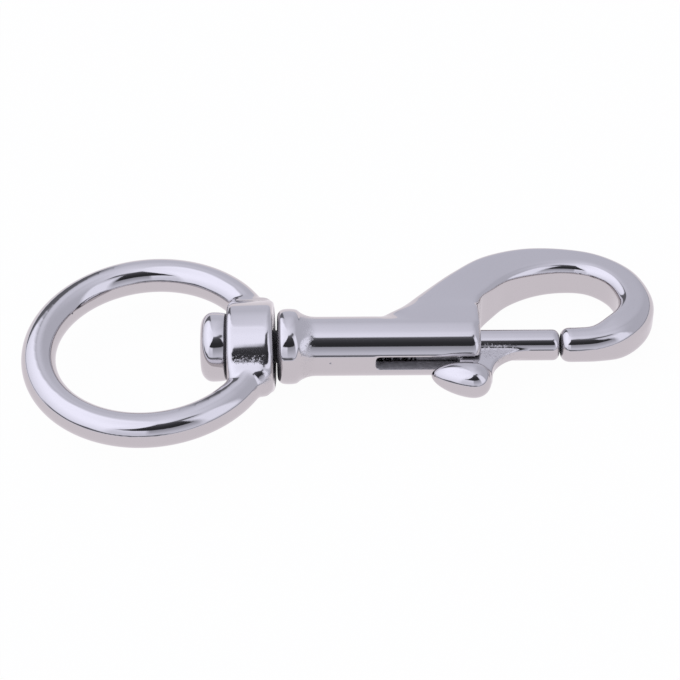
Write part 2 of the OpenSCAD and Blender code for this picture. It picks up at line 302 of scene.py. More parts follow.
def turned_bar(name, rings, rounds=()):
    """Turns a bar about X through rings of (x, radius), then rounds edges (x, radius, size)."""
    x, r = rings[0]
    obj = primitive(
        bpy.ops.mesh.primitive_circle_add, vertices=ROUND, radius=r, fill_type="NGON",
        location=(x, 0, 0), rotation=(0, pi / 2, 0))
    bpy.ops.mesh.select_all(action="SELECT")
    for next_x, next_r in rings[1:]:
        bpy.ops.mesh.extrude_region_move(TRANSFORM_OT_translate={"value": (next_x - x, 0, 0)})
        share = next_r / r
        bpy.ops.transform.resize(value=(1, share, share), center_override=(next_x, 0, 0))
        x, r = next_x, next_r
    for edge_x, edge_r, width in rounds:
        pick_edges(obj, at_radius(edge_x, edge_r))
        bpy.ops.mesh.bevel(offset=width, segments=EDGE_STEPS, profile=0.5, affect="EDGES")
    return done(obj, name)


def crowned(start, end, r, crown, first, last):
    """Rings of a round part that swells to radius r at the middle of its length, and whose
    two ends are rounded with the radii first and last."""
    turns = [pi / 2 * i / EDGE_STEPS for i in range(EDGE_STEPS + 1)]
    rings = [(start + first * (1 - cos(a)), r - first * (1 - sin(a))) for a in turns]
    low, high = start + first, end - last
    rings += [(low + (high - low) * i / SIDE_STEPS, r) for i in range(1, SIDE_STEPS)]
    rings += [(end - last * (1 - cos(a)), r - last * (1 - sin(a))) for a in reversed(turns)]
    return [(x, y - crown * (2 * (x - start) / (end - start) - 1) ** 2) for x, y in rings]


def block(name, lo, hi):
    """A box between two corners."""
    lo, hi = Vector(lo), Vector(hi)
    deselect()
    bpy.ops.mesh.primitive_cube_add(size=1, location=(lo + hi) / 2)
    obj = bpy.context.object
    obj.scale = hi - lo
    settle()
    obj.name = name
    return obj


def place(obj, location=(0, 0, 0), rotation=(0, 0, 0)):
    """Turns and moves an object, and puts that in its mesh."""
    take(obj)
    obj.rotation_euler = rotation
    obj.location = location
    settle()


def apply_all(obj):
    """Applies all of an object's modifiers in order."""
    take(obj)
    for name in [m.name for m in obj.modifiers]:
        bpy.ops.object.modifier_apply(modifier=name)


def combine(obj, tools):
    """Adds or cuts each (operation, tool) from an object, and removes the tools."""
    for operation, tool in tools:
        m = obj.modifiers.new(operation.title(), "BOOLEAN")
        m.operation = operation
        m.solver = "MANIFOLD"
        m.object = tool
    apply_all(obj)
    for _, tool in tools:
        bpy.data.meshes.remove(tool.data)


def skin(obj, step):
    """Runs one even, softly rounded surface over the joined solids."""
    m = obj.modifiers.new("Skin", "REMESH")
    m.mode = "VOXEL"
    m.voxel_size = step
    m.use_smooth_shade = True
    m = obj.modifiers.new("Polish", "SMOOTH")
    m.factor = SMOOTHING
    m.iterations = SETTLING
    apply_all(obj)


def soften(obj, passes, *balls):
    """Smooths a finished surface further inside balls, each a place and a radius on both
    sides of the middle plane, to blend a joint. It fades out towards the balls' edges."""
    group = obj.vertex_groups.new(name="Blend")
    for v in obj.data.vertices:
        place_of = Vector((v.co.x, v.co.y, abs(v.co.z)))
        share = max(1 - ((place_of - centre).length / reach) ** 2 for centre, reach in balls)
        if share > 0:
            group.add([v.index], min(1, 2 * share), "REPLACE")
    m = obj.modifiers.new("Blend", "SMOOTH")
    m.factor = SMOOTHING
    m.iterations = passes
    m.vertex_group = group.name
    apply_all(obj)
    obj.vertex_groups.clear()


def finish_piece(obj, material, body, slot, *nodes):
    """Dresses a finished piece, and makes it ride and stand for its CAD nodes."""
    obj.data.materials.clear()
    obj.data.materials.append(material)
    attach(obj, body)
    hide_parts(*nodes)


def settings():
    """The snap hook's settings in this scene."""
    return bpy.context.scene.snap_hook


# ------------------------------------------------------------------ materials

class Nodes:
    """Adds and joins the nodes of one material or world."""

    def __init__(self, tree):
        self.tree = tree
        tree.nodes.clear()

    def add(self, kind, **values):
        node = self.tree.nodes.new(kind)
        for key, value in values.items():
            setattr(node, key, value)
        return node

    def join(self, source, target):
        self.tree.links.new(source, target)

    def math(self, operation, a, b=None, c=None, clamp=False):
        node = self.add("ShaderNodeMath", operation=operation, use_clamp=clamp)
        for i, value in enumerate((a, b, c)):
            if value is None:
                continue
            if isinstance(value, (int, float)):
                node.inputs[i].default_value = value
            else:
                self.join(value, node.inputs[i])
        return node.outputs[0]

    def dot(self, vector, direction):
        node = self.add("ShaderNodeVectorMath", operation="DOT_PRODUCT")
        self.join(vector, node.inputs[0])
        node.inputs[1].default_value = direction
        return node.outputs["Value"]

    def ramp(self, factor, stops):
        node = self.add("ShaderNodeValToRGB")
        elements = node.color_ramp.elements
        while len(elements) < len(stops):
            elements.new(1)
        for element, (position, value) in zip(elements, stops):
            element.position = position
            element.color = (*value, 1)
        self.join(factor, node.inputs[0])
        return node.outputs["Color"]

    def mix(self, factor, a, b):
        node = self.add("ShaderNodeMix", data_type="RGBA")
        for socket, value in zip((node.inputs[0], node.inputs[6], node.inputs[7]), (factor, a, b)):
            if isinstance(value, (int, float)):
                socket.default_value = value
            elif isinstance(value, tuple):
                socket.default_value = (*value, 1)
            else:
                self.join(value, socket)
        return node.outputs[2]

    def rises(self, value, at, soft):
        """0 below a place and 1 above it, over a soft step."""
        return self.math("MULTIPLY_ADD", value, 0.5 / soft, 0.5 - 0.5 * at / soft, clamp=True)

    def falls(self, value, at, soft):
        """1 below a place and 0 above it, over a soft step."""
        return self.rises(value, at, -soft)

    def both(self, first, *others):
        """Where all of several masks hold."""
        for other in others:
            first = self.math("MULTIPLY", first, other)
        return first

    def between(self, value, low, high, soft):
        """1 between two places and 0 outside them."""
        return self.both(self.rises(value, low, soft), self.falls(value, high, soft))

    def line(self, value, slope, start):
        """start + slope * value."""
        return self.math("MULTIPLY_ADD", value, slope, start)

    def noise(self, coordinates, scale, detail, rough):
        node = self.add("ShaderNodeTexNoise")
        node.inputs["Scale"].default_value = scale
        node.inputs["Detail"].default_value = detail
        node.inputs["Roughness"].default_value = rough
        self.join(coordinates, node.inputs["Vector"])
        return node.outputs["Fac"]

    def bump(self, height, depth, below=None):
        """Raises a surface, or the bumps below, by a height map that is depth millimetres high."""
        node = self.add("ShaderNodeBump")
        node.inputs["Distance"].default_value = depth * MM
        self.join(height, node.inputs["Height"])
        if below is not None:
            self.join(below, node.inputs["Normal"])
        return node.outputs[0]


# Scales of the steel's textures, from the broadest to the finest.
CLOUDS, WAVES, SHEEN, PATCHES, GRAIN = 90, 170, 700, 1600, 2600
CLOUDED = 0.96           # share of the steel's colour that its clouds leave
BLOTCHES = (0.5, 1.4)    # shares of the dull colour and of the painted shade colour in their darkest and palest blotches
DULL_AND_SHADE_METALLIC = 0.15        # how metallic the dull faces and the faces with painted shade are
CAST_ROUGH = (0.1, 0.2)  # roughness that the cast skin adds, and more on its blots
BLOT_LEVEL, BLOT_SOFT = 0.6, 0.06


def polished_steel(name, tint, finish, dull=None, painted_shade=None, cast=None, wave=0.012):
    """Bright polished steel with the slight waves that a casting keeps under its polish.
    The three optional masks, in order, are for the faces that the wheel never reached, for the faces
    between two pieces, which get a near-black colour as painted shade, and for the corners where the
    rough skin still shows."""
    material = bpy.data.materials.new(name)
    material.use_nodes = True
    n = Nodes(material.node_tree)
    shader = n.add("ShaderNodeBsdfPrincipled")
    output = n.add("ShaderNodeOutputMaterial")
    n.join(shader.outputs[0], output.inputs[0])
    place_on = n.add("ShaderNodeTexCoord").outputs["Object"]
    shader.inputs["Metallic"].default_value = 1
    axes = n.add("ShaderNodeSeparateXYZ")
    n.join(place_on, axes.inputs[0])
    millimetres = [n.math("MULTIPLY", axis, 1 / MM) for axis in axes.outputs]

    cloud = n.noise(place_on, CLOUDS, 4, 0.6)
    colour_of = n.mix(cloud, tuple(c * CLOUDED for c in tint), tuple(tint))
    if cast:
        skin_of = cast(n, *millimetres)
        blots = n.rises(n.noise(place_on, GRAIN, 2, 0.6), BLOT_LEVEL, BLOT_SOFT)
        plain_rough, more = CAST_ROUGH
        rough = n.math("MULTIPLY", skin_of, n.line(blots, more, plain_rough))
        rough = n.math("ADD", rough, finish.gloss)
    else:
        rough = n.line(n.noise(place_on, SHEEN, 3, 0.6), finish.gloss, finish.gloss * 0.5)
    patches = n.noise(place_on, PATCHES, 3, 0.6)
    dull_and_painted_shade = None
    # The dull colour is the steel's own where the wheel never reached; the second colour is painted
    # shade, near-black, on faces between pieces.
    for mask_of, plain in ((dull, finish.dull), (painted_shade, finish.painted_shade)):
        if mask_of:
            mask = mask_of(n, *millimetres)
            dark, pale = (tuple(c * share for c in plain) for share in BLOTCHES)
            colour_of = n.mix(mask, colour_of, n.mix(patches, dark, pale))
            dull_and_painted_shade = mask if dull_and_painted_shade is None else either(n, mask, dull_and_painted_shade)
    if dull_and_painted_shade is not None:
        n.join(n.line(dull_and_painted_shade, DULL_AND_SHADE_METALLIC - 1, 1), shader.inputs["Metallic"])
        rough = n.math("MAXIMUM", rough, n.math("MULTIPLY", dull_and_painted_shade, finish.dull_gloss))
    n.join(colour_of, shader.inputs["Base Color"])
    n.join(rough, shader.inputs["Roughness"])

    surface = n.bump(n.noise(place_on, WAVES, 1, 0.4), wave)
    surface = n.bump(n.noise(place_on, GRAIN, 3, 0.7), finish.grain, surface)
    if cast:
        surface = n.bump(n.both(skin_of, blots), finish.cast_depth, surface)
    n.join(surface, shader.inputs["Normal"])
    return material


SPOT_RISE = 1.6          # how steeply a spot rises from its edge: it is full well before its centre


def spot(n, x, y, z, centre, size):
    """A soft mask: 1 in the middle of a ball, falling to 0 at its edge, all in millimetres."""
    far = None
    for axis, at in zip((x, y, z), centre):
        part = n.math("POWER", n.line(axis, 1, -at), 2)
        far = part if far is None else n.math("ADD", far, part)
    return n.math("MULTIPLY_ADD", n.math("SQRT", far), -SPOT_RISE / size, SPOT_RISE, clamp=True)


def around_axis(n, y, z):
    """Distance from the barrel's axis."""
    return n.math("SQRT", n.math("ADD", n.math("POWER", y, 2), n.math("POWER", z, 2)))


def either(n, first, *others):
    """Where any of several masks holds."""
    for other in others:
        first = n.math("MAXIMUM", first, other)
    return first


# --------------------------------------------------------------------- pieces

SECTION = 40         # points round one section of the bow
BETWEEN = 6          # sections between two stations
TIP_STEPS = 6        # steps round the edge of the tip's end
SOFT = 0.1           # soft edge of most masks, in millimetres
NECK_STEPS = (0, 0.2, 0.4, 0.6, 0.8, 1)

# Where the arm's heel meets the barrel: back from the barrel's front less the arm's width,
# up from the axis and out from the middle, in millimetres, and how it rises along the arm.
HEEL_BACK, HEEL_UP, HEEL_OUT, HEEL_RISE = 1.1, 3.4, 4.1, 0.42
HEEL_STEPS = (0, 2, 4)
HEEL_REACH, HEEL_PASSES = 2.8, 120
# The same for the bow's inner corner above the barrel's front.
CORNER_BACK, CORNER_UP, CORNER_OUT = 0.2, 7, 3.8
CORNER_REACH, CORNER_PASSES = 1.8, 30
# The ears' roots on the boss, to both sides of it.
EAR_ROOT, EAR_REACH, EAR_PASSES = 8.3, 5.2, 60
# The stalk's hollow under the bolt.
SADDLE_ON, SADDLE_REACH, SADDLE_PASSES = 0.5, 4, 15

# Small casting pits: places in millimetres, the barrel's from the collar's face.
BARREL_PIT, RING_PIT, PIT_SIZE = (8.4, -4.68, 0.25), (-12.9, 8, 0.8), 0.22


def barrel_front():
    """Place of the barrel's front along X, in millimetres."""
    return (BODY_LO.x + settings().body.barrel_len) / MM


def boss_middle(eye):
    """Place of the boss's middle along X."""
    return eye.inner_d / 2 + eye.wire_d / 2 - eye.inset


def stalk_front():
    """Place of the thumb stalk's front along X, in millimetres."""
    bolt = settings().bolt
    return (BOLT_LO.x + bolt.tail_len + bolt.stalk_len) / MM


def smooth(p0, p1, p2, p3, t):
    """A smooth curve through four rows of numbers, a share t of the way from p1 to p2."""
    return [0.5 * (2 * b + (c - a) * t + (2 * a - 5 * b + 4 * c - d) * t ** 2
                   + (3 * b - a - 3 * c + d) * t ** 3)
            for a, b, c, d in zip(p0, p1, p2, p3)]


def bow_stations(bow, body):
    """Stations along the middle of the arm and bow, in millimetres: x, y, width,
    half thickness, inner edge radius, outer edge radius, heading in degrees, and how many
    times wider than high the outer edge's rounding is."""
    front = (BODY_LO.x + body.barrel_len) / MM
    barrel_r = body.barrel_d / 2 / MM
    nose_w, tip_d = bow.nose_w / MM, bow.tip_d / MM
    nose_x = front + bow.bow_len / MM - nose_w / 2
    crown_w = bow.crown_w / MM
    crown_y = bow.bow_h / MM - crown_w / 2
    half = bow.bow_t / 2 / MM
    edge, root = bow.edge / MM, bow.root_edge / MM
    tip_r = tip_d / 2
    arm = bow.arm_w / MM

    def bow_x(u):
        return front + (nose_x - front) * u

    def root_x(w):
        return front - bow.root_step / MM - w / 2

    return [
        (root_x(arm + 5.6), barrel_r * 0.04, arm + 5.6, barrel_r - 0.06, root, 4.5, 90, 2),
        (root_x(arm + 5.2), barrel_r * 0.46, arm + 5.2, barrel_r - 0.13, root, 4.4, 90, 2),
        (root_x(arm + 4), barrel_r * 0.9, arm + 4, barrel_r - 0.3, root, 4.2, 90, 1.7),
        (root_x(arm + 1.8), barrel_r * 1.13, arm + 1.8, barrel_r - 0.43, root, 3.9, 88, 1.4),
        (root_x(arm - 0.3), barrel_r * 1.4, arm - 0.2, barrel_r - 0.62, root, 3.5, 84, 1.2),
        (bow_x(-0.197), crown_y * 0.405, arm - 1.6, half + 0.62, root, 2.9, 77, 1.1),
        (bow_x(-0.135), crown_y * 0.52, arm - 3.4, half + 0.42, root, 2.3, 68, 1),
        (bow_x(-0.02), crown_y * 0.68, arm - 4.4, half + 0.25, edge - 0.9, edge, 51, 1),
        (bow_x(0.13), crown_y * 0.86, crown_w + 1, half + 0.1, edge - 0.6, edge, 33, 1),
        (bow_x(0.34), crown_y * 0.975, crown_w + 0.3, half, edge - 0.1, edge, 14, 1),
        (bow_x(0.56), crown_y, crown_w - 0.8, half - 0.05, edge + 0.1, edge, -4, 1),
        (bow_x(0.765), crown_y * 0.94, nose_w - 0.05, half - 0.1, edge + 0.2, edge, -27, 1),
        (bow_x(0.928), crown_y * 0.755, nose_w, half - 0.1, edge, edge + 0.2, -57, 1),
        (bow_x(0.996), crown_y * 0.48, nose_w + 0.15, half - 0.1, edge, edge + 0.4, -85, 1),
        (bow_x(0.96), crown_y * 0.26, nose_w + 0.3, half - 0.05, edge, edge + 0.6, -116, 1),
        (bow_x(0.85), crown_y * 0.095, nose_w + 0.4, half - 0.1, edge + 0.2, edge + 0.6, -144, 1),
        (bow_x(0.72), crown_y * 0.015, tip_d + 0.05, tip_r + 0.1, tip_r - 0.1, tip_r - 0.1, -164, 1),
        (bow_x(0.6), 0, tip_d, tip_r, tip_r - 0.01, tip_r - 0.01, -177, 1),
        (front + (bow.mouth + bow.tip_edge) / MM, 0, tip_d, tip_r, tip_r - 0.01, tip_r - 0.01,
         -180, 1)]


def add_section(obj, station, inset=0.0, back=0.0):
    """Adds one rounded section of the bow: a circle whose quarters are sized and moved apart."""
    x, y, width, half, inner, outer, heading, spread = station
    a = radians(heading)
    along, across = Vector((cos(a), sin(a), 0)), Vector((sin(a), -cos(a), 0))
    centre = (Vector((x, y, 0)) + along * back) * MM
    w, h = width / 2 - inset, half - inset
    bpy.ops.mesh.primitive_circle_add(
        vertices=SECTION, radius=MM, fill_type="NOTHING", location=centre,
        rotation=(pi / 2, -pi / SECTION, a - pi / 2))
    for side, radius, wider in ((1, inner, 1), (-1, outer, spread)):
        e = min(radius - inset / 2, w - 0.01, h - 0.01)
        flat = min(e * wider, w - 0.01)
        for rise in (1, -1):
            pick_verts(obj, lambda p: (p - centre).dot(across) * side > 0 and p.z * rise > 0,
                       slice(-SECTION, None))
            bpy.ops.transform.resize(value=(flat, flat, e), center_override=centre)
            bpy.ops.transform.translate(
                value=(across * side * (w - flat) + Vector((0, 0, rise * (h - e)))) * MM)


def lofted_bow(bow, body):
    """The arm, bow and tip: sections bridged one after another and capped at both ends."""
    rows = bow_stations(bow, body)
    last = len(rows) - 1
    sections = []
    for i in range(last):
        ends = [rows[max(0, min(last, k))] for k in (i - 1, i, i + 1, i + 2)]
        sections += [(smooth(*ends, k / BETWEEN), 0, 0) for k in range(BETWEEN)]
    edge = bow.tip_edge / MM
    for k in range(TIP_STEPS + 1):
        a = radians(90 * k / TIP_STEPS)
        sections.append((rows[last], edge * (1 - cos(a)), edge * sin(a)))
    deselect()
    bpy.ops.object.add(type="MESH")
    obj = bpy.context.object
    edit(obj)
    for i, (row, inset, back) in enumerate(sections):
        add_section(obj, row, inset, back)
        if i:
            pick_verts(obj, among=slice(-2 * SECTION, None))
            bpy.ops.mesh.bridge_edge_loops()
    for end in (slice(-SECTION, None), slice(SECTION)):
        pick_verts(obj, among=end)
        bpy.ops.mesh.edge_face_add()
    return done(obj, "bow")


class SNAPHOOK_OT_body(Operator):
    """Build the cast hook body: collar, barrel and bow in one piece"""
    bl_idname = "snaphook.body"
    bl_label = "Hook body"
    bl_options = {"REGISTER", "UNDO"}

    def execute(self, context):
        s = settings()
        body = s.body
        start = BODY_LO.x
        front = start + body.barrel_len
        collar_r, barrel_r = BODY_HI.z, body.barrel_d / 2
        neck = start + body.collar_len
        collar = crowned(start, neck, collar_r, body.collar_crown,
                         body.collar_edge, body.collar_edge * 0.9)
        rise = (collar_r - barrel_r) / 2
        hollow = [(neck + body.neck_len * t, barrel_r + rise * (1 - t) ** 2)
                  for t in NECK_STEPS]
        obj = turned_bar(
            "polished_casting",
            collar + hollow + [(front, barrel_r)],
            [(front, barrel_r, body.front_edge)])
        beyond = body.bore_d
        bore = turned_bar(
            "bore", [(start - beyond, body.bore_d / 2), (front + beyond, body.bore_d / 2)])
        slot_x, half = start + body.slot_start, body.slot_w / 2
        slot = block("slot", (slot_x, -body.barrel_d, -half), (front + beyond, 0, half))
        edit(slot)
        pick_edges(slot, lambda a, b: max(a.x, b.x) < slot_x + CLOSE and abs(a.z - b.z) < CLOSE)
        bpy.ops.mesh.bevel(offset=body.slot_corner, segments=CORNER_STEPS, affect="EDGES")
        done(slot)
        combine(obj, [("UNION", lofted_bow(s.bow, body)), ("DIFFERENCE", bore), ("DIFFERENCE", slot)])
        skin(obj, body.skin)
        heel = front - s.bow.arm_w - HEEL_BACK * MM
        places = [(heel + step * MM, (HEEL_UP + HEEL_RISE * step) * MM, HEEL_OUT * MM)
                  for step in HEEL_STEPS]
        soften(obj, HEEL_PASSES, *[(Vector(p), HEEL_REACH * MM) for p in places])
        corner = Vector((front - CORNER_BACK * MM, CORNER_UP * MM, CORNER_OUT * MM))
        soften(obj, CORNER_PASSES, (corner, CORNER_REACH * MM))
        steel = polished_steel(
            "Polished cast steel", s.finish.steel, s.finish, self.dull, self.painted_shade, self.cast)
        finish_piece(obj, steel, HOOK, "polished_casting", "hook_body")
        return {"FINISHED"}

    @staticmethod
    def dull(n, x, y, z):
        """The bore, the slot's walls and a pit in the barrel."""
        body = settings().body
        face, front = BODY_LO.x / MM, barrel_front()
        r = around_axis(n, y, z)
        bore = n.both(n.falls(r, body.bore_d / 2 / MM + 0.15, 0.08), n.falls(x, front - 0.1, SOFT))
        slot = n.both(
            n.falls(n.math("ABSOLUTE", z), body.slot_w / 2 / MM + 0.06, 0.05),
            n.falls(y, 0, 0.2),
            n.falls(r, body.barrel_d / 2 / MM - 0.2, 0.12),
            n.between(x, face + 8, front - 0.6, 0.3))
        along, *rest = BARREL_PIT
        return either(n, bore, slot, spot(n, x, y, z, (face + along, *rest), PIT_SIZE))

    @staticmethod
    def painted_shade(n, x, y, z):
        """Painted shade: a near-black colour on the collar's face against the eye and the tip's face
        against the bolt, where shade falls between the pieces.
        """
        face = BODY_LO.x / MM
        tip = barrel_front() + settings().bow.mouth / MM
        end = n.both(n.between(x, tip - 0.1, tip + 0.12, SOFT),
                     n.falls(around_axis(n, y, z), 2.4, 0.3))
        return either(n, n.falls(x, face + 0.12, 0.12), end)

    @staticmethod
    def cast(n, x, y, z):
        """The hollow neck and the barrel's front corner."""
        body = settings().body
        neck = (BODY_LO.x + body.collar_len + body.neck_len / 2) / MM
        hollow = n.both(n.between(x, neck - 1, neck + 0.9, 0.5),
                        n.falls(around_axis(n, y, z), 5.6, 0.5))
        return either(n, hollow, spot(n, x, y, z, (barrel_front() - 0.4, -3.4, 2.6), 1.2))


def eye_boss(eye, back, front):
    """The boss: one edge swept round three arcs, mirrored all round, capped and rounded."""
    crown_r, foot_from = eye.boss_d / 2, pi / 2 - eye.crown_turn
    far = crown_r - eye.flank_r
    flank_y, flank_z = far * cos(foot_from), far * sin(foot_from)
    reach = eye.flank_r - eye.foot_r
    lean = asin(-flank_z / reach)
    foot_y = flank_y + reach * cos(lean)
    length = front - back
    obj = primitive(
        bpy.ops.mesh.primitive_plane_add, size=length,
        location=(back + length / 2, length / 2, crown_r))
    pick_verts(obj, lambda p: p.y > CLOSE)
    bpy.ops.mesh.delete(type="VERT")
    bpy.ops.mesh.select_all(action="SELECT")
    crown = (0, 0, eye.crown_turn, 8)
    flank = (flank_y, flank_z, foot_from - lean, 10)
    foot = (foot_y, 0, lean, 10)
    for y, z, angle, steps in (crown, flank, foot):
        bpy.ops.mesh.spin(steps=steps, angle=angle, center=(0, y, z), axis=(1, 0, 0))
    done(obj, "boss")
    mirror = obj.modifiers.new("Halves", "MIRROR")
    mirror.use_axis = (False, True, True)
    mirror.merge_threshold = CLOSE
    apply_all(obj)
    edit(obj)
    bpy.ops.mesh.select_all(action="SELECT")
    bpy.ops.mesh.remove_doubles(threshold=CLOSE)
    for x in (back, front):
        pick_edges(obj, lambda a, b: max(abs(a.x - x), abs(b.x - x)) < CLOSE)
        bpy.ops.mesh.edge_face_add()
    pick_edges(obj, lambda a, b: abs(a.x - b.x) < CLOSE)
    bpy.ops.mesh.bevel(offset=eye.boss_edge, segments=EDGE_STEPS, affect="EDGES")
    return done(obj)


WIRE_SIDES, RING_STEPS = 64, 240
EAR_BACK = 0.05      # how far the ears stay behind the boss's face, in millimetres
EYE_SKIN = 0.9       # the eye's skin step as a share of the body's

# The sloped pads beside the ears: set in from the boss's back, from its front and from the
# ears' ends, in millimetres; then their inner end as a share of the boss's radius, how much
# thicker they are there, and their edges' radius as a share of the ears'.
PAD_BACK, PAD_FRONT, PAD_OUT = 0.15, 0.5, 0.6
PAD_IN, PAD_THICKER, PAD_EDGE = 0.8, 1.5, 0.6


class SNAPHOOK_OT_eye(Operator):
    """Build the swivel eye: round wire, boss and ears"""
    bl_idname = "snaphook.eye"
    bl_label = "Swivel eye"
    bl_options = {"REGISTER", "UNDO"}

    def execute(self, context):
        s = settings()
        eye = s.eye
        wire_r = eye.wire_d / 2
        ring_r = eye.inner_d / 2 + wire_r
        middle = boss_middle(eye)
        back, front = middle - eye.boss_len / 2, middle + eye.boss_len / 2
        a = eye.open_angle
        obj = primitive(
            bpy.ops.mesh.primitive_circle_add, vertices=WIRE_SIDES, radius=wire_r, fill_type="NGON",
            location=(ring_r * cos(a), -ring_r * sin(a), 0), rotation=(pi / 2, 0, -a))
        bpy.ops.mesh.select_all(action="SELECT")
        bpy.ops.mesh.spin(steps=RING_STEPS, angle=2 * (pi - a), center=(0, 0, 0), axis=(0, 0, 1))
        done(obj, "polished_eye")
        boss = eye_boss(eye, back, front)
        half, ear_r = eye.ear_span / 2, eye.ear_d / 2
        ears = turned_bar("ears", [(-half, ear_r), (half, ear_r)],
                          [(x, ear_r, eye.ear_edge) for x in (-half, half)])
        place(ears, (front - ear_r - EAR_BACK * MM, 0, 0), (0, 0, pi / 2))
        pads = [block("pad", (back + PAD_BACK * MM, side * (half - PAD_OUT * MM), -ear_r),
                      (front - PAD_FRONT * MM, side * eye.boss_d / 2 * PAD_IN, ear_r))
                for side in (-1, 1)]
        for pad in pads:
            edit(pad)
            pick_verts(pad, lambda p: abs(p.y) < half - MM)
            bpy.ops.transform.resize(value=(1, 1, PAD_THICKER), center_override=(0, 0, 0))
            pick_edges(pad, lambda a, b: max(abs(a.y), abs(b.y)) > eye.boss_d / 2)
            bpy.ops.mesh.bevel(
                offset=eye.ear_edge * PAD_EDGE, segments=CORNER_STEPS, affect="EDGES")
            done(pad)
        hole_r = eye.hole_d / 2
        hole = turned_bar("hole", [(back - eye.ear_d, hole_r), (front + eye.ear_d, hole_r)])
        combine(obj, [("UNION", tool) for tool in [boss, ears] + pads] + [("DIFFERENCE", hole)])
        place(obj, (-middle, 0, 0))
        place(obj, rotation=(0, -eye.droop, 0))
        place(obj, (middle, 0, 0), (eye.turned, 0, 0))
        skin(obj, s.body.skin * EYE_SKIN)
        soften(obj, EAR_PASSES, *[(Vector((middle, side * EAR_ROOT * MM, 0)), EAR_REACH * MM)
                                  for side in (-1, 1)])
        steel = polished_steel(
            "Polished eye steel", s.finish.steel, s.finish, painted_shade=self.painted_shade, cast=self.cast)
        finish_piece(obj, steel, EYE, "polished_eye", "swivel_eye")
        return {"FINISHED"}

    @staticmethod
    def painted_shade(n, x, y, z):
        """Painted shade: a near-black colour on the hole and the faces round it, against the stud's
        head and the collar, where shade falls between the pieces, and on a real casting pit in the
        ring, whose darkness is painted shade too."""
        eye = settings().eye
        middle, half = boss_middle(eye) / MM, eye.boss_len / 2 / MM
        r = around_axis(n, y, z)
        off = n.math("ABSOLUTE", n.line(x, 1, -middle))
        face = n.both(n.rises(off, half - 0.1, SOFT), n.falls(r, 6.8, 0.4))
        hole = n.falls(r, eye.hole_d / 2 / MM + 0.15, SOFT)
        inside = n.both(either(n, hole, face), n.rises(x, middle - half - 1, SOFT))
        return either(n, inside, spot(n, x, y, z, RING_PIT, PIT_SIZE))

    @staticmethod
    def cast(n, x, y, z):
        """The foot of the boss's near flank, the near ear and the far ear's root."""
        eye = settings().eye
        middle = boss_middle(eye) / MM
        front = middle + eye.boss_len / 2 / MM
        foot = n.both(n.between(x, middle - 2.6, front - 0.8, 0.4), n.between(y, -7.5, -6.8, 0.4),
                      n.rises(z, 1.4, 0.5))
        return either(n, foot, spot(n, x, y, z, (front - 1, -9.4, 1), 1.6),
                      spot(n, x, y, z, (middle - 3.4, 8.3, 3), 1.2))


class SNAPHOOK_OT_stud(Operator):
    """Build the swivel stud: a round head on a shank"""
    bl_idname = "snaphook.stud"
    bl_label = "Swivel stud"
    bl_options = {"REGISTER", "UNDO"}

    def execute(self, context):
        s = settings()
        stud = s.stud
        back, end, head_r = STUD_LO.x, STUD_HI.x, STUD_HI.z
        face = back + stud.head_len
        head = crowned(back, face, head_r, stud.head_crown, stud.head_edge, stud.under_edge)
        obj = turned_bar(
            "polished_stud", head + [(face, stud.shank_d / 2), (end, stud.shank_d / 2)])
        bpy.ops.object.shade_smooth_by_angle(angle=radians(40))
        steel = polished_steel("Polished stud steel", s.finish.steel, s.finish, painted_shade=self.painted_shade)
        finish_piece(obj, steel, HOOK, "polished_stud", "swivel_stud")
        return {"FINISHED"}

    @staticmethod
    def painted_shade(n, x, y, z):
        """Painted shade: a near-black colour on the shank and the face under the head, where shade
        falls inside the eye's hole.
        """
        return n.rises(x, (STUD_LO.x + settings().stud.head_len) / MM - 0.15, SOFT)


STALK_SPARE = 0.2        # how much longer the stalk's foot is than the stalk, in millimetres
STALK_INTO = 0.6         # how deep the stalk runs into the bolt, as a share of its radius
HOLLOW_STEPS, STALK_STEPS = 16, 4
KNOB_POINT = 0.67        # share of the knob's length on its pointed side
POINTED, BLUNT = 1.75, 2.3   # powers of the outlines of the knob's two sides
KNOB_STEP = 5            # degrees from ring to ring of the knob


